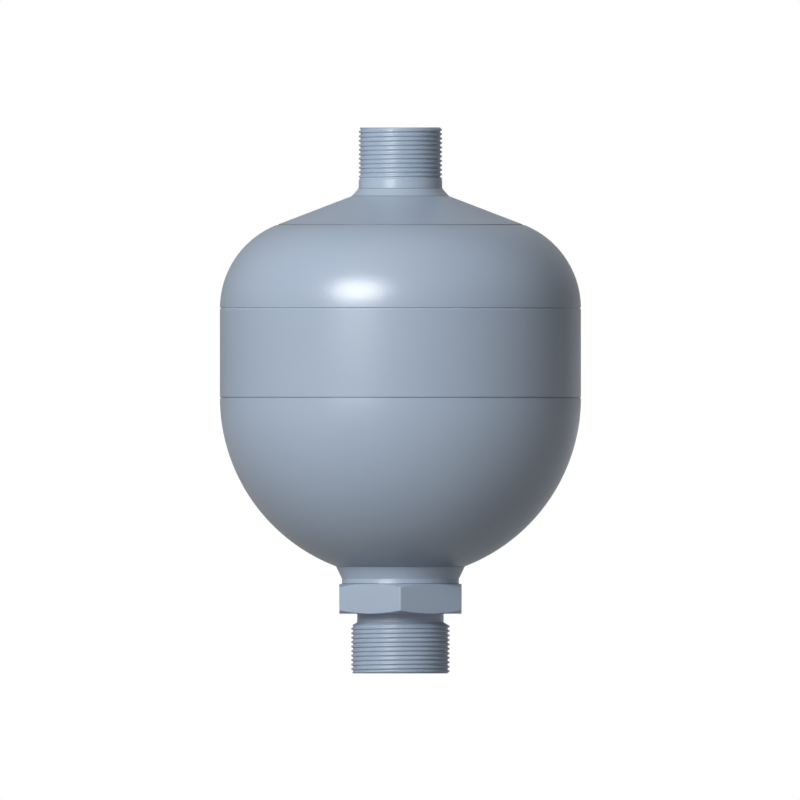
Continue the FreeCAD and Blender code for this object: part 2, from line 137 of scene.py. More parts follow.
def soften(rows, steps=4):
    """Round a closed outline of rows (radius, height, rounding), once or once
    per column. A corner p becomes (1-t)^2 a + 2t(1-t) p + t^2 b, where a and b
    lie towards its neighbours, at the rounding's distance from p but at most
    0.45 of the way. The second result is the number that each row has now."""
    rows = np.asarray(rows, float)
    points = rows[..., :2]
    rounding = rows[..., 2:]
    back = np.roll(points, 1, 0) - points
    ahead = np.roll(points, -1, 0) - points
    back_length = np.maximum(np.linalg.norm(back, axis=-1, keepdims=True), 1e-9)
    ahead_length = np.maximum(np.linalg.norm(ahead, axis=-1, keepdims=True), 1e-9)
    reach = np.minimum(rounding, 0.45 * np.minimum(back_length, ahead_length))
    a = points + back / back_length * reach
    b = points + ahead / ahead_length * reach
    t = np.linspace(0, 1, steps + 1).reshape((1, -1) + (1,) * (points.ndim - 1))
    curve = (1 - t) ** 2 * a[:, None] + 2 * t * (1 - t) * points[:, None] + t**2 * b[:, None]
    rounded = rounding.reshape(len(rows), -1).max(1) > 0
    kept = rounded[:, None] | (np.arange(steps + 1) == 0)
    return curve[kept], np.cumsum(kept.sum(1)) - kept.sum(1)


def turned_skin(name, outline, turns, climbs=(), loop=True):
    """A surface of quads through the rounded rows of an outline, each row
    carried round the axis: x = radius cos turn, y = radius sin turn. A loop
    joins its last row to its first; otherwise both ends lie on the axis. In a
    climb (first, end, step), each row from first up to end meets the row that
    many steps on after one turn, as on a helix."""
    rows, number = soften(outline)
    if rows.ndim == 2:
        rows = with_turns(rows, turns)
    places = np.stack(
        [rows[..., 0] * np.cos(turns), rows[..., 0] * np.sin(turns), rows[..., 1]], -1
    )
    index = np.arange(rows.shape[0] * rows.shape[1]).reshape(rows.shape[:2])
    beside = np.roll(index, -1, 1)
    for first, end, step in climbs:
        band = number[first] + np.arange(end - first)
        beside[band, -1] = index[np.clip(band + step, band[0], band[-1]), 0]
    quads = np.stack([index, beside, np.roll(beside, -1, 0), np.roll(index, -1, 0)], -1)
    quads = quads if loop else quads[:-1]
    mesh = bpy.data.meshes.new(name)
    mesh.from_pydata((places.reshape(-1, 3) * MM).tolist(), [], quads.reshape(-1, 4).tolist())
    shape = bmesh.new()
    shape.from_mesh(mesh)
    bmesh.ops.remove_doubles(shape, verts=shape.verts, dist=merge_within * MM)
    bmesh.ops.recalc_face_normals(shape, faces=shape.faces)
    shape.to_mesh(mesh)
    shape.free()
    mesh.shade_smooth()
    mesh.set_sharp_from_angle(angle=np.radians(sharp_from))
    piece = bpy.data.objects.new(name, mesh)
    bpy.context.scene.collection.objects.link(piece)
    return piece


def linear(code):
    """An sRGB hex value as the linear colour that a shader takes."""
    part = np.array([int(code[k : k + 2], 16) for k in (1, 3, 5)]) / 255
    light = np.where(part <= 0.04045, part / 12.92, ((part + 0.055) / 1.055) ** 2.4)
    return (*light.tolist(), 1.0)


def empty_tree(owner):
    """The node tree of a material or a world, switched on and emptied."""
    owner.use_nodes = True
    owner.node_tree.nodes.clear()
    return owner.node_tree


def add_node(tree, kind, inputs=None, **settings):
    """Add a node of that kind with its settings. Inputs maps a socket's name
    or number to a value, or to the output socket that feeds it."""
    node = tree.nodes.new(kind)
    for name, value in settings.items():
        setattr(node, name, value)
    for name, value in (inputs or {}).items():
        if isinstance(value, bpy.types.NodeSocket):
            tree.links.new(value, node.inputs[name])
        else:
            node.inputs[name].default_value = value
    return node


def tool_rings(tree, place, feed):
    """Height of the rings that a lathe tool leaves, one for each feed in mm:
    bands along the axis on what is round, and rings about it on end faces.
    Real feeds are 0.1 to 0.3 mm, and under the coat a coarser one is drawn, so
    that it shows. At a scale of 1, a wave repeats every 2 pi / 20."""
    wave = {"Vector": place, "Scale": 2 * np.pi / 20 / (feed * MM)}
    bands = add_node(tree, "ShaderNodeTexWave", wave, bands_direction="Z")
    rings = add_node(tree, "ShaderNodeTexWave", wave, wave_type="RINGS", rings_direction="Z")
    both = add_node(tree, "ShaderNodeMath", {0: bands.outputs["Fac"], 1: rings.outputs["Fac"]})
    return both.outputs[0]


def satin_coat(name, tints=("#A4B3C6", "#AAB9CC"), roughness=0.3, feed=None):
    """Blue-grey epoxy coat, sprayed over steel. It has the faint waves of a
    sprayed film about 1.5 mm apart, a finer grain, and a tint that drifts by
    a percent or two. With a feed, the tool's rings show through the film."""
    material = bpy.data.materials.new(name)
    tree = empty_tree(material)
    place = add_node(tree, "ShaderNodeTexCoord").outputs["Object"]
    drift = add_node(
        tree,
        "ShaderNodeTexNoise",
        {"Vector": place, "Scale": 1 / (drift_size * MM), "Detail": 3.0},
    )
    tint = add_node(
        tree,
        "ShaderNodeMix",
        {0: drift.outputs["Fac"], 6: linear(tints[0]), 7: linear(tints[1])},
        data_type="RGBA",
    )
    sheen = add_node(
        tree,
        "ShaderNodeMapRange",
        {
            "Value": drift.outputs["Fac"],
            "To Min": roughness - sheen_drift,
            "To Max": roughness + sheen_drift,
        },
    )
    film = add_node(
        tree,
        "ShaderNodeTexNoise",
        {"Vector": place, "Scale": 1 / (film_size * MM), "Detail": 1.0},
    )
    grain = add_node(
        tree,
        "ShaderNodeTexNoise",
        {"Vector": place, "Scale": 1 / (grain_size * MM), "Detail": 2.0},
    )
    heights = [(film.outputs["Fac"], film_depth), (grain.outputs["Fac"], grain_depth)]
    if feed:
        heights.append((tool_rings(tree, place, feed), coated_tool_depth))
    below = {}
    for height, depth in heights:
        relief = add_node(
            tree,
            "ShaderNodeBump",
            {"Height": height, "Strength": 1.0, "Distance": depth * MM, **below},
        )
        below = {"Normal": relief.outputs["Normal"]}
    shader = add_node(
        tree,
        "ShaderNodeBsdfPrincipled",
        {
            "Base Color": tint.outputs[2],
            "Roughness": sheen.outputs["Result"],
            "Normal": relief.outputs["Normal"],
            "IOR": 1.5,
            "Specular IOR Level": 0.77,
        },
    )
    add_node(tree, "ShaderNodeOutputMaterial", {"Surface": shader.outputs["BSDF"]})
    return material


round_turns = even_turns(256)
round_centre = (0, girth)
rim = girth - seam_half
fluid_outline = np.vstack([
    [(port_hole_radius, spot_face, edge_round)],
    arc(
        round_centre,
        outer_radius,
        angle_out(outer_radius, collar_radius),
        angle_up(outer_radius, rim),
        count=72,
    ),
    [(ring_seat_radius, rim, edge_round)],
    [(ring_seat_radius, ledge, edge_round)],
    arc(
        round_centre,
        inner_radius,
        angle_up(inner_radius, ledge),
        angle_out(inner_radius, port_hole_radius),
        count=60,
    ),
])
fluid_shell = turned_skin("fluid_shell_pressing", fluid_outline, round_turns)
pressed_coat = satin_coat("satin_coat_on_pressed_steel")
fluid_shell.data.materials.append(pressed_coat)
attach(fluid_shell, "vessel")
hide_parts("fluid_shell")


# Gas shell: the upper half, pressed in one piece with a straight belt, a round
# knuckle and a cone, and bored for the gas boss. The press leaves a fine line
# at each end of the knuckle, and a darker coat along each line is painted shade.
belt_length = 30.0
belt_top = girth + belt_length
knuckle_radius = 30.0
knuckle_centre = (outer_radius - knuckle_radius, belt_top)
cone_slope = 21.0
cone_rise = np.tan(np.radians(cone_slope))
cone_lean = np.array([np.sin(np.radians(cone_slope)), np.cos(np.radians(cone_slope))])
cone_start = np.array(knuckle_centre) + knuckle_radius * cone_lean
boss_hole_radius = 13.6
ring_rise = 5.0
ring_top = girth + ring_rise
cone_rows = (30.0, 22.0)
line_depth = 0.3
line_half_width = 0.4
line_reach = 0.45
line_rows = 10
belt_line_shade_reach = 0.25
cone_line_shade_reach = 0.42


def press_line(outline, place, facing):
    """Sink the outline along a fine line: each point moves against facing by
    depth * (1 - (d / half width)^2)^2, where d is its distance from place."""
    distance = np.linalg.norm(outline[:, :2] - place, axis=1)
    share = np.clip(1 - (distance / line_half_width) ** 2, 0, 1) ** 2
    sunk = outline.copy()
    sunk[:, :2] -= line_depth * share[:, None] * np.asarray(facing)
    return sunk


def cone_level(across, radius):
    """Height of the cone that is tangent to a knuckle of that radius."""
    foot = np.array(knuckle_centre) + radius * cone_lean
    return foot[1] + (foot[0] - across) * cone_rise


def face_places(piece):
    """Distance from the axis and height of each face's middle, in mm."""
    middles = np.empty(len(piece.data.polygons) * 3)
    piece.data.polygons.foreach_get("center", middles)
    across, deep, up = middles.reshape(-1, 3).T / MM
    return np.column_stack([np.hypot(across, deep), up])


def near(piece, place, reach):
    """Which faces of a piece lie within reach of a place on its outline."""
    return np.linalg.norm(face_places(piece) - place, axis=1) < reach


def add_finish(piece, material, chosen):
    """Give a piece one more material, on the chosen faces."""
    finish = np.zeros(len(piece.data.polygons), int)
    piece.data.polygons.foreach_get("material_index", finish)
    finish[chosen] = len(piece.data.materials)
    piece.data.materials.append(material)
    piece.data.polygons.foreach_set("material_index", finish)


knuckle_turn = 90 - cone_slope
line_turn = np.degrees(line_reach / knuckle_radius)
fine_steps = np.linspace(0, line_reach, line_rows)[1:]
cone_across = np.concatenate([cone_start[0] - fine_steps * cone_lean[1], cone_rows])
gas_outline = np.vstack([
    [(ring_seat_radius, girth + seam_half, edge_round)],
    [(outer_radius, girth + seam_half, edge_round)],
    rows_at(outer_radius, belt_top - fine_steps[::-1]),
    arc(knuckle_centre, knuckle_radius, 0, line_turn, line_rows),
    arc(knuckle_centre, knuckle_radius, line_turn, knuckle_turn - line_turn, count=40)[1:-1],
    arc(knuckle_centre, knuckle_radius, knuckle_turn - line_turn, knuckle_turn, line_rows),
    rows_at(cone_across, cone_level(cone_across, knuckle_radius)),
    [(boss_hole_radius, cone_level(boss_hole_radius, knuckle_radius), 0)],
    [(boss_hole_radius, cone_level(boss_hole_radius, knuckle_radius - shell_wall), 0)],
    arc(knuckle_centre, knuckle_radius - shell_wall, knuckle_turn, 0, count=36),
    [(inner_radius, ring_top, edge_round)],
    [(ring_seat_radius, ring_top, edge_round)],
])
gas_outline = press_line(gas_outline, (outer_radius, belt_top), (1, 0))
gas_outline = press_line(gas_outline, cone_start, cone_lean)
gas_shell = turned_skin("gas_shell_pressing", gas_outline, round_turns)
gas_shell.data.materials.append(pressed_coat)
# A darker copy of the coat: painted shade on the faces in grooves and corners.
painted_shade_coat = satin_coat("satin_coat_painted_shade_in_grooves", ("#717C89", "#77828F"))
add_finish(gas_shell, painted_shade_coat, near(gas_shell, (outer_radius, belt_top), belt_line_shade_reach))
add_finish(gas_shell, painted_shade_coat, near(gas_shell, cone_start, cone_line_shade_reach))
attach(gas_shell, "vessel")
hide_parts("gas_shell")


# Girth weld: the narrow seam of a beam weld that joins the shells, run right
# through to the clamp ring behind it. Its face lies a little below the shells
# and has a fine groove along its middle.
seam_face = seam_high.x / MM
groove = 0.12
groove_shade_reach = 0.18
seam_outline = np.array([
    (ring_seat_radius, girth - seam_half, 0),
    (seam_face, girth - seam_half, 0),
    (seam_face, girth - groove, 0),
    (seam_face - groove, girth, 0),
    (seam_face, girth + groove, 0),
    (seam_face, girth + seam_half, 0),
    (ring_seat_radius, girth + seam_half, 0),
])
girth_weld = turned_skin("girth_weld_seam", seam_outline, round_turns)
girth_weld.data.materials.append(pressed_coat)
# Painted shade: the darker coat on the faces along the groove.
add_finish(girth_weld, painted_shade_coat, near(girth_weld, (seam_face, girth), groove_shade_reach))
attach(girth_weld, "vessel")
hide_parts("girth_weld")


# Port fitting: turned from hexagon bar, with a G 1/2 thread in its bore and an
# M33 x 1.5 thread outside its stub, above which it is undercut. The coat fills
# a part of the outside thread, so that is 0.65 mm deep and not 0.92 mm.
fitting_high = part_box("port_fitting")[1]
seat = fitting_high.z / MM
stub_radius = 16.5
stub_chamfer = 0.7
stub_pitch = 1.5
stub_thread_depth = 0.65
stub_thread_end = 16.0
undercut_radius = 14.5
undercut_slope = 30.0
undercut_round = 0.4
hex_foot = 20.0
hex_top = 30.0
hex_half_width = fitting_high.x / MM
hex_inset = 0.15
hex_slope = 18.0
hex_ease = 0.1
hex_round = 0.2
turned_round = 0.3
spigot_radius = 15.0
bore_radius = 9.315
bore_pitch = 1.814
bore_thread_depth = 1.16
bore_end = 14.0
mouth_radius = 10.7
passage_radius = 6.0
drill_slope = 30.0
thread_steps = 16
half_flat_columns = 16
flat_margin = 0.1
collar_toe_shade_reach = 0.3


def hexagon(turns, half_width, ease=0.0):
    """Distance from the axis to a hexagon with flats across X: half_width over
    the cosine of the angle from its nearest flat, eased at the corners by a
    soft minimum of the two flats that meet there."""
    off = np.abs((turns + np.pi / 6) % (np.pi / 3) - np.pi / 6)
    this_flat = half_width / np.cos(off)
    next_flat = half_width / np.cos(np.pi / 3 - off)
    if not ease:
        return this_flat
    return this_flat - ease * np.log1p(np.exp((this_flat - next_flat) / ease))


def thread(radius, depth, pitch, low, high, turns, steps, crest=0.2, root=0.2):
    """Radius and level along the rows of a right-hand thread from low to high.
    Each row climbs by pitch * turn / 2 pi, so that it keeps its place on the
    vee: radius on the crest, depth away in the root (outwards if negative),
    and t^2 (3 - 2t) of that on the flank. Crest and root are the shares of the
    pitch that they take. Levels past an end stay at it."""
    count = int(np.ceil((high - low + pitch) / pitch * steps)) + 2
    rows = low - pitch + np.arange(count)[:, None] * pitch / steps
    levels = np.clip(rows + pitch * turns[None, :] / (2 * np.pi), low, high)
    off = np.abs((levels / pitch - turns[None, :] / (2 * np.pi)) % 1 - 0.5) * 2
    t = np.clip((off - crest) / (1 - crest - root), 0, 1)
    return radius - depth * t * t * (3 - 2 * t), levels


def stack(turns, *stretches):
    """Join stretches of an outline: rows that are the same all round, rows
    with a place for each turn, and threads, each as its rows and its step. A
    thread gives a climb: its first row, the row after its last, the step."""
    rows, climbs, first = [], [], 0
    for stretch in stretches:
        stretch, step = stretch if isinstance(stretch, tuple) else (stretch, 0)
        if step:
            climbs.append((first, first + len(stretch), step))
        first += len(stretch)
        rows.append(stretch if np.ndim(stretch) == 3 else with_turns(stretch, turns))
    return np.concatenate(rows), climbs


# Columns crowd together at the hexagon's corners: 30 degrees times a sine.
sector = np.arange(-half_flat_columns, half_flat_columns) / half_flat_columns
fitting_turns = 60 * np.arange(6)[:, None] + 30 * np.sin(np.pi / 2 * sector)[None, :]
fitting_turns = np.sort(np.radians(fitting_turns).ravel() % (2 * np.pi))
bore_across, bore_levels = thread(
    bore_radius, -bore_thread_depth, bore_pitch, 0, bore_end, fitting_turns, thread_steps
)
bore_across = np.maximum(bore_across, mouth_radius - bore_levels)
drill_end = bore_end + (bore_radius - passage_radius) * np.tan(np.radians(drill_slope))
undercut_rise = np.tan(np.radians(undercut_slope))
stub_end = stub_thread_end + (stub_radius - undercut_radius) * undercut_rise
stub_across, stub_levels = thread(
    stub_radius, stub_thread_depth, stub_pitch, 0, stub_end, fitting_turns, thread_steps
)
flank = stub_radius - (stub_levels - stub_thread_end) / undercut_rise
stub_across = np.minimum(stub_across, np.minimum(stub_radius - stub_chamfer + stub_levels, flank))
hex_radius = hexagon(fitting_turns, hex_half_width, hex_ease)
hex_circle = hex_half_width - hex_inset
hex_drop = (hex_radius - hex_circle) * np.tan(np.radians(hex_slope))
hex_rows = rows_at(hex_radius, np.stack([hex_foot + hex_drop, hex_top - hex_drop]))
hex_rows[..., 2] = hex_round
fitting_outline, fitting_climbs = stack(
    fitting_turns,
    [(passage_radius, seat, turned_round), (passage_radius, drill_end, 0)],
    (rows_at(bore_across, bore_levels)[::-1], -thread_steps),
    (rows_at(stub_across, stub_levels), thread_steps),
    [(undercut_radius, hex_foot, undercut_round), (hex_circle, hex_foot, 0)],
    hex_rows,
    [(hex_circle, hex_top, 0), (collar_radius, hex_top, turned_round)],
    [(collar_radius, spot_face, 0), (spigot_radius, spot_face, 0)],
    [(spigot_radius, seat, turned_round)],
)
port_fitting = turned_skin("port_fitting_threaded", fitting_outline, fitting_turns, fitting_climbs)
turned_coat = satin_coat("satin_coat_on_turned_steel", feed=0.5)
port_fitting.data.materials.append(turned_coat)
fitting_levels = face_places(port_fitting)[:, 1]
on_flats = (fitting_levels > hex_foot + flat_margin) & (fitting_levels < hex_top - flat_margin)
# Painted shade: the darker coat on the faces round the corner where the collar meets the hexagon.
collar_toe_shaded = near(port_fitting, (collar_radius, hex_top), collar_toe_shade_reach)
add_finish(port_fitting, pressed_coat, on_flats)
add_finish(port_fitting, painted_shade_coat, collar_toe_shaded)
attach(port_fitting, "vessel")
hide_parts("port_fitting")


# Port weld: a ring of weld metal that flares from the fitting's collar to the
# shell. The weld pool froze in fine crescents, still faintly seen in the coat.
port_weld_low, port_weld_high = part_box("port_weld")
port_weld_foot = port_weld_low.z / MM
port_weld_radius = port_weld_high.x / MM
port_weld_sag = 0.03
ripple_length = 1.6
ripple_height = 0.015
ripple_bow = 0.6
ripple_columns = 8
weld_toe_shade_reach = 0.2


def weld_bead(name, face, back):
    """A ring whose outer face carries weld ripples: it moves outwards by
    height * (1 - s^2) * cos(2 pi * (length round / ripple + bow * s^2)), where
    s goes from -1 to 1 across the face. The rows of back close the ring."""
    count = int(2 * np.pi * face[:, 0].mean() / ripple_length)
    turns = even_turns(count * ripple_columns)
    s = np.linspace(-1, 1, len(face))[:, None]
    wave = np.cos(turns * count + 2 * np.pi * ripple_bow * s**2)
    across = face[:, :1] + ripple_height * (1 - s**2) * wave
    outline = np.concatenate([rows_at(across, face[:, 1:]), with_turns(back, turns)])
    return turned_skin(name, outline, turns)


def hollow_face(start, end, sag, toe=0.25, count=9):
    """A straight face from start to end that sags inwards by sag * 4t(1-t),
    with a narrow strip of toe's width along both of its edges."""
    along = np.subtract(end, start)
    length = np.linalg.norm(along)
    inwards = np.array([-along[1], along[0]]) / length
    t = np.concatenate([[0], np.linspace(toe / length, 1 - toe / length, count), [1]])[:, None]
    return start + along * t + inwards * sag * 4 * t * (1 - t)


def sphere_level(radius, across):
    """The height at which the lower half of a sphere of that radius about the
    vessel's middle is that far from the axis."""
    return girth - np.sqrt(radius**2 - across**2)


port_face = hollow_face(
    (collar_radius, port_weld_foot),
    (port_weld_radius, sphere_level(outer_radius, port_weld_radius)),
    port_weld_sag,
)
port_back = arc(
    round_centre,
    outer_radius,
    angle_out(outer_radius, port_weld_radius),
    angle_out(outer_radius, collar_radius),
    count=5,
)[1:]
port_weld = weld_bead("port_weld_bead", port_face, port_back)
weld_coat = satin_coat("satin_coat_on_weld_metal", roughness=0.33)
port_weld.data.materials.append(weld_coat)
# Painted shade: the darker coat along the weld's toe, where it meets the shell.
add_finish(port_weld, painted_shade_coat, near(port_weld, port_face[-1], weld_toe_shade_reach))
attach(port_weld, "vessel")
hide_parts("port_weld")


# Gas boss: a turned stub with an outside thread M28 x 1.5 for the charging
# adapter, as deep as the port's, and with a recess and a tapped hole for the
# charging screw. Below its shoulder it is turned down to fit the shell.
boss_low, boss_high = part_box("gas_boss")
boss_weld_low, boss_weld_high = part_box("boss_weld")
boss_foot = boss_low.z / MM
boss_top = boss_high.z / MM
boss_radius = boss_high.x / MM
boss_shoulder = boss_weld_high.z / MM
boss_step = 0.5
register_radius = boss_radius - boss_step
boss_chamfer = 0.7
boss_pitch = 1.5
boss_thread_depth = 0.65
boss_thread_length = 18.0
boss_thread_foot = boss_top - boss_thread_length
recess_radius = 8.5
recess_depth = 10.0
recess_floor = boss_top - recess_depth
tapped_radius = 4.05
tapped_depth = 14.0
tapped_foot = recess_floor - tapped_depth
drill_point = 1.2
gas_hole_radius = 2.0
bored_round = 0.2
boss_turns = even_turns(176)
boss_across, boss_levels = thread(
    boss_radius, boss_thread_depth, boss_pitch, boss_thread_foot, boss_top, boss_turns, thread_steps
)
run_out = np.clip((boss_levels - boss_thread_foot) / boss_pitch, 0, 1)
boss_across = boss_radius - run_out * (boss_radius - boss_across)
boss_across = np.minimum(boss_across, boss_radius - boss_chamfer + boss_top - boss_levels)
boss_outline, boss_climbs = stack(
    boss_turns,
    [(register_radius, boss_foot, bored_round), (register_radius, boss_shoulder, 0)],
    [(boss_radius, boss_shoulder, 0)],
    (rows_at(boss_across, boss_levels), thread_steps),
    [(recess_radius, boss_top, turned_round), (recess_radius, recess_floor, bored_round)],
    [(tapped_radius, recess_floor, bored_round), (tapped_radius, tapped_foot, 0)],
    [(gas_hole_radius, tapped_foot - drill_point, 0), (gas_hole_radius, boss_foot, bored_round)],
)
gas_boss = turned_skin("gas_boss_threaded", boss_outline, boss_turns, boss_climbs)
gas_boss.data.materials.append(turned_coat)
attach(gas_boss, "vessel")
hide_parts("gas_boss")


# Boss weld: a ring of weld metal like the port's, from the cone of the gas
# shell up to the boss's shoulder, with the same crescents under the coat.
boss_weld_sag = 0.08
boss_face = hollow_face(
    (boss_weld_high.x / MM, boss_weld_low.z / MM), (boss_radius, boss_shoulder), boss_weld_sag
)
boss_back = [
    (register_radius, boss_shoulder, 0),
    (register_radius, cone_level(register_radius, knuckle_radius), 0),
]
boss_weld = weld_bead("boss_weld_bead", boss_face, boss_back)
boss_weld.data.materials.append(weld_coat)
# Painted shade: the darker coat along both toes of the weld.
add_finish(boss_weld, painted_shade_coat, near(boss_weld, boss_face[0], weld_toe_shade_reach))
add_finish(boss_weld, painted_shade_coat, near(boss_weld, boss_face[-1], weld_toe_shade_reach))
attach(boss_weld, "vessel")
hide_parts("boss_weld")


# Charging screw: an M8 socket head screw of zinc-plated steel, with a knurled
# head and a 6 mm key socket. It closes the gas side inside the boss.
screw_low, screw_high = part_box("charging_screw")
screw_foot = screw_low.z / MM
shank_radius = 4.0
shank_chamfer = 0.8
shank_pitch = 1.25
shank_thread_depth = 0.7
screw_steps = 8
head_radius = screw_high.x / MM
head_top = screw_high.z / MM
head_height = 8.0
head_foot = head_top - head_height
head_chamfer = 0.8
head_foot_chamfer = 0.3
knurl_depth = 0.1
knurl_count = 60
knurl_rows = 8
knurl_top = head_top - 1.0
knurl_foot = head_foot + 0.6
key_half_width = 3.0
key_depth = 5.0
key_foot = head_top - key_depth
key_point = key_foot - 0.8
key_mouth_radius = 3.6
key_mouth_foot = head_top - 0.4
key_mouth_round = 0.05
cloud_size = 3.0
sheen_spread = 0.05
bare_tool_depth = 0.003


def turned_steel(name, tints, roughness, feed):
    """Bare or zinc-plated steel, turned on a lathe: a metal whose fine rings,
    one for each turn of the work, stretch its highlights across them."""
    material = bpy.data.materials.new(name)
    tree = empty_tree(material)
    place = add_node(tree, "ShaderNodeTexCoord").outputs["Object"]
    cloud = add_node(
        tree,
        "ShaderNodeTexNoise",
        {"Vector": place, "Scale": 1 / (cloud_size * MM), "Detail": 4.0},
    )
    sheen = add_node(
        tree,
        "ShaderNodeMapRange",
        {
            "Value": cloud.outputs["Fac"],
            "To Min": roughness - sheen_spread,
            "To Max": roughness + sheen_spread,
        },
    )
    tint = add_node(
        tree,
        "ShaderNodeMix",
        {0: cloud.outputs["Fac"], 6: linear(tints[0]), 7: linear(tints[1])},
        data_type="RGBA",
    )
    relief = add_node(
        tree,
        "ShaderNodeBump",
        {
            "Height": tool_rings(tree, place, feed),
            "Strength": 1.0,
            "Distance": bare_tool_depth * MM,
        },
    )
    shader = add_node(
        tree,
        "ShaderNodeBsdfPrincipled",
        {
            "Base Color": tint.outputs[2],
            "Metallic": 1.0,
            "Roughness": sheen.outputs["Result"],
            "Normal": relief.outputs["Normal"],
        },
    )
    add_node(tree, "ShaderNodeOutputMaterial", {"Surface": shader.outputs["BSDF"]})
    return material


screw_turns = even_turns(360)
key_radius = hexagon(screw_turns, key_half_width)[None]
shank_across, shank_levels = thread(
    shank_radius, shank_thread_depth, shank_pitch, screw_foot, head_foot, screw_turns, screw_steps
)
shank_across = np.minimum(shank_across, shank_radius - shank_chamfer + shank_levels - screw_foot)
knurl_levels = np.linspace(knurl_top, knurl_foot, knurl_rows)[:, None]
knurl_share = np.sin(np.linspace(0, np.pi, knurl_rows))[:, None] ** 0.5
knurl = knurl_share * knurl_depth * np.cos(screw_turns * knurl_count)
screw_outline, screw_climbs = stack(
    screw_turns,
    [(0, key_point, 0)],
    rows_at(key_radius, key_foot),
    rows_at(key_radius, key_mouth_foot),
    [(key_mouth_radius, head_top, key_mouth_round)],
    [(head_radius - head_chamfer, head_top, turned_round)],
    rows_at(head_radius - knurl_depth + knurl, knurl_levels),
    [(head_radius - head_foot_chamfer, head_foot, 0)],
    (rows_at(shank_across, shank_levels)[::-1], -screw_steps),
    [(0, screw_foot, 0)],
)
screw = turned_skin(
    "charging_screw_knurled", screw_outline, screw_turns, screw_climbs, loop=False
)
zinc = turned_steel("zinc_plated_steel", ("#B8BCC0", "#CCD0D4"), 0.35, 0.25)
screw.data.materials.append(zinc)
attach(screw, "vessel")
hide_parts("charging_screw")


# Bonded seal under the screw head: a turned steel ring, zinc plated, with a
# rubber lip moulded into it.
bloom_size = 12.0
mould_grain_size = 0.5
mould_grain_depth = 0.01


def moulded_rubber(name, tints, roughness):
    """Nitrile rubber from a mould: near black and matt, with a bloom that turns
    it a little paler in places, and an even grain that is drawn at 0.5 mm, so
    that it shows."""
    material = bpy.data.materials.new(name)
    tree = empty_tree(material)
    place = add_node(tree, "ShaderNodeTexCoord").outputs["Object"]
    grain = add_node(
        tree,
        "ShaderNodeTexNoise",
        {"Vector": place, "Scale": 1 / (mould_grain_size * MM), "Detail": 3.0},
    )
    bloom = add_node(
        tree,
        "ShaderNodeTexNoise",
        {"Vector": place, "Scale": 1 / (bloom_size * MM), "Detail": 3.0},
    )
    tint = add_node(
        tree,
        "ShaderNodeMix",
        {0: bloom.outputs["Fac"], 6: linear(tints[0]), 7: linear(tints[1])},
        data_type="RGBA",
    )
    relief = add_node(
        tree,
        "ShaderNodeBump",
        {
            "Height": grain.outputs["Fac"],
            "Strength": 1.0,
            "Distance": mould_grain_depth * MM,
        },
    )
    shader = add_node(
        tree,
        "ShaderNodeBsdfPrincipled",
        {
            "Base Color": tint.outputs[2],
            "Roughness": roughness,
            "Normal": relief.outputs["Normal"],
        },
    )
    add_node(tree, "ShaderNodeOutputMaterial", {"Surface": shader.outputs["BSDF"]})
    return material


rubber = moulded_rubber("moulded_nitrile_rubber", ("#1C1D1F", "#26272A"), 0.6)
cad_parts["seal_washer"].material_slots[0].material = zinc
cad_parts["seal_lip"].material_slots[0].material = rubber


# Clamp ring and valve button: turned steel, left bare because it lies inside
# the vessel. The button's disc shows at the end of the fluid passage.
bare_steel = turned_steel("bare_turned_steel", ("#8E8F90", "#A2A3A4"), 0.4, 0.3)
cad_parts["clamp_ring"].material_slots[0].material = bare_steel
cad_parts["valve_button"].material_slots[0].material = bare_steel


# Diaphragm: a moulded cup of nitrile rubber with a wedge-shaped bead. The hub
# is moulded round the button's stem and goes with it; the cup between the bead
# and the hub is built in one fixed shape.
button_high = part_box("valve_button")[1]
gap = 0.1
membrane_thickness = 2.5
membrane_radius = inner_radius - gap
membrane_inner = membrane_radius - membrane_thickness
bead_height = 4.5
bead_slope = 15.0
bead_round = 0.4
bead_radius = ring_seat_radius - gap
bead_top = ledge + bead_height
ring_width = 4.4
bead_lip = bead_top - ring_width * np.tan(np.radians(bead_slope))
hub_radius = 16.0
hub_height = 10.0
hub_slope = 20.0
hub_round = 1.2
hub_foot_round = 0.2
hub_foot = seat + gap
hub_top = seat + hub_height
hub_under = sphere_level(membrane_radius, hub_radius)
hub_side = sphere_level(membrane_inner, hub_radius)
disc_radius = button_high.x / MM
disc_top = seat + 3.0
stem_radius = 3.0
stem_top = seat + 6.0
anchor_radius = 5.0
anchor_top = button_high.z / MM
rubber_turns = even_turns(160)
cup_outline = np.vstack([
    arc(
        round_centre,
        membrane_radius,
        angle_out(membrane_radius, hub_radius),
        angle_up(membrane_radius, ledge),
        count=70,
    ),
    [(bead_radius, ledge, bead_round)],
    [(bead_radius, bead_top, bead_round)],
    arc(
        round_centre,
        membrane_inner,
        angle_up(membrane_inner, bead_lip),
        angle_out(membrane_inner, hub_radius),
        count=70,
    ),
])
cup = turned_skin("diaphragm_cup", cup_outline, rubber_turns)
cup.data.materials.append(rubber)
hub_outline = np.array([
    (0, anchor_top + gap, 0),
    (anchor_radius + gap, anchor_top + gap, 0),
    (anchor_radius + gap, stem_top - gap, 0),
    (stem_radius + gap, stem_top - gap, 0),
    (stem_radius + gap, disc_top + gap, 0),
    (disc_radius + gap, disc_top + gap, 0),
    (disc_radius + gap, hub_foot, hub_foot_round),
    (np.sqrt(membrane_radius**2 - (girth - hub_foot) ** 2), hub_foot, 0),
    (hub_radius, hub_under, 0),
    (hub_radius, hub_side, 0),
    (hub_radius - (hub_top - hub_side) * np.tan(np.radians(hub_slope)), hub_top, hub_round),
    (0, hub_top, 0),
])
hub = turned_skin("diaphragm_hub", hub_outline, rubber_turns, loop=False)
hub.data.materials.append(rubber)
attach(hub, "button")
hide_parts("diaphragm")
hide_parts("diaphragm")
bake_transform(cup)


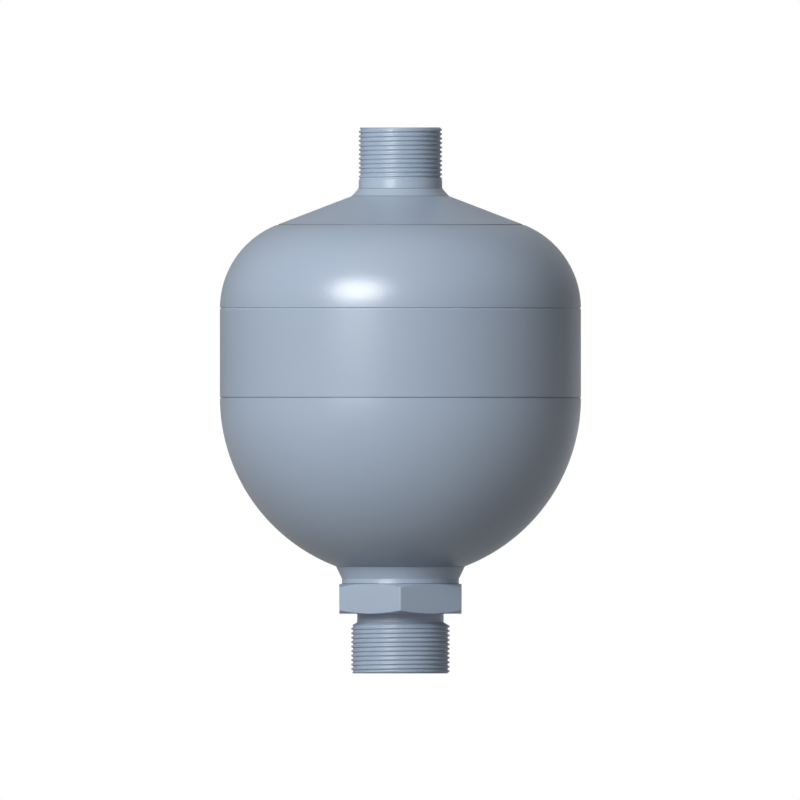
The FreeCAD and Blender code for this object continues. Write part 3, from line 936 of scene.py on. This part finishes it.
# Studio: a pale floor just below the port and a white surround. Both are white
# only where they are seen, and gloss mirrors them faintly, so that nearly all
# the light on the object comes from the softboxes.
floor_half = 3.0
floor_level = -0.05 * MM
floor_white = 0.9
floor_grey = 0.3
mirrored_white = 0.3
ambient = 0.02
lamp_distance = 2.5
frame_width = 0.2681


def white_where_seen(tree):
    """How bright the white shows: 1 to the camera and through glass, less in a
    reflection, and 0 where it would light a surface."""
    path = add_node(tree, "ShaderNodeLightPath")
    seen = add_node(
        tree,
        "ShaderNodeMath",
        {0: path.outputs["Is Camera Ray"], 1: path.outputs["Is Transmission Ray"]},
        operation="MAXIMUM",
    )
    mirrored = add_node(
        tree,
        "ShaderNodeMath",
        {0: path.outputs["Is Glossy Ray"], 1: mirrored_white},
        operation="MULTIPLY",
    )
    shown = add_node(
        tree, "ShaderNodeMath", {0: seen.outputs[0], 1: mirrored.outputs[0]}, operation="MAXIMUM"
    )
    return shown.outputs[0]


floor_corners = [
    (-floor_half, -floor_half, floor_level),
    (floor_half, -floor_half, floor_level),
    (floor_half, floor_half, floor_level),
    (-floor_half, floor_half, floor_level),
]
floor_mesh = bpy.data.meshes.new("floor")
floor_mesh.from_pydata(floor_corners, [], [(0, 1, 2, 3)])
floor = bpy.data.objects.new("floor", floor_mesh)
bpy.context.scene.collection.objects.link(floor)
floor.visible_diffuse = False
floor.visible_shadow = False
floor_paint = bpy.data.materials.new("pale_studio_floor")
tree = empty_tree(floor_paint)
lift = add_node(
    tree, "ShaderNodeMath", {0: white_where_seen(tree), 1: floor_white}, operation="MULTIPLY"
)
glow = add_node(
    tree, "ShaderNodeEmission", {"Color": (1, 1, 1, 1), "Strength": lift.outputs[0]}
)
matt = add_node(
    tree, "ShaderNodeBsdfDiffuse", {"Color": (floor_grey, floor_grey, floor_grey, 1)}
)
lit = add_node(tree, "ShaderNodeAddShader", {0: glow.outputs[0], 1: matt.outputs[0]})
clear = add_node(tree, "ShaderNodeBsdfTransparent")
under = add_node(tree, "ShaderNodeNewGeometry").outputs["Backfacing"]
either = add_node(
    tree, "ShaderNodeMixShader", {0: under, 1: lit.outputs[0], 2: clear.outputs[0]}
)
add_node(tree, "ShaderNodeOutputMaterial", {"Surface": either.outputs[0]})
floor_mesh.materials.append(floor_paint)

world = bpy.data.worlds.new("white_surround")
bpy.context.scene.world = world
tree = empty_tree(world)
level = add_node(
    tree, "ShaderNodeMath", {0: white_where_seen(tree), 1: ambient}, operation="MAXIMUM"
)
surround = add_node(
    tree, "ShaderNodeBackground", {"Color": (1, 1, 1, 1), "Strength": level.outputs[0]}
)
add_node(tree, "ShaderNodeOutputWorld", {"Surface": surround.outputs[0]})

# The softboxes are oval lamps aimed at the middle of the vessel. Each has its
# angle to the right of the viewer's line, its height angle, its width and
# height in metres, its power, and whether gloss mirrors it.
middle = np.array([0.0, 0.0, (cad_low.z + cad_high.z) / 2])
softboxes = {
    "key_softbox": (-28.2, 23.0, (1.48, 1.2), 51.0, True),
    "low_softbox": (-28.2, 2.0, (1.3, 2.3), 10.5, True),
    "high_softbox": (-40.0, 60.0, (2.0, 2.0), 9.3, False),
    "front_softbox": (30.0, -20.0, (2.0, 2.0), 2.2, False),
    "side_softbox": (100.0, -20.0, (2.0, 2.0), 6.4, False),
    "back_softbox": (165.0, 12.0, (2.0, 2.0), 45.0, False),
    "under_softbox": (150.0, -60.0, (2.0, 2.0), 2.0, False),
}
for name, (right, above, size, power, mirrored) in softboxes.items():
    right, above = np.radians(right), np.radians(above)
    flat = np.cos(above)
    towards = np.array([np.sin(right) * flat, -np.cos(right) * flat, np.sin(above)])
    light = bpy.data.lights.new(name, "AREA")
    light.shape = "ELLIPSE"
    light.size, light.size_y = size
    light.energy = power
    lamp = bpy.data.objects.new(name, light)
    lamp.location = (middle + towards * lamp_distance).tolist()
    lamp.rotation_euler = (np.pi / 2 - above, 0, right)
    lamp.visible_camera = False
    lamp.visible_glossy = mirrored
    bpy.context.scene.collection.objects.link(lamp)

camera = bpy.data.cameras.new("camera")
camera.type = "ORTHO"
camera.ortho_scale = frame_width
viewer = bpy.data.objects.new("camera", camera)
viewer.location = (-0.00015, -1.0, 0.09164)
viewer.rotation_euler = (np.pi / 2, 0, 0)
bpy.context.scene.collection.objects.link(viewer)
bpy.context.scene.camera = viewer
bpy.context.scene.view_settings.view_transform = "Standard"
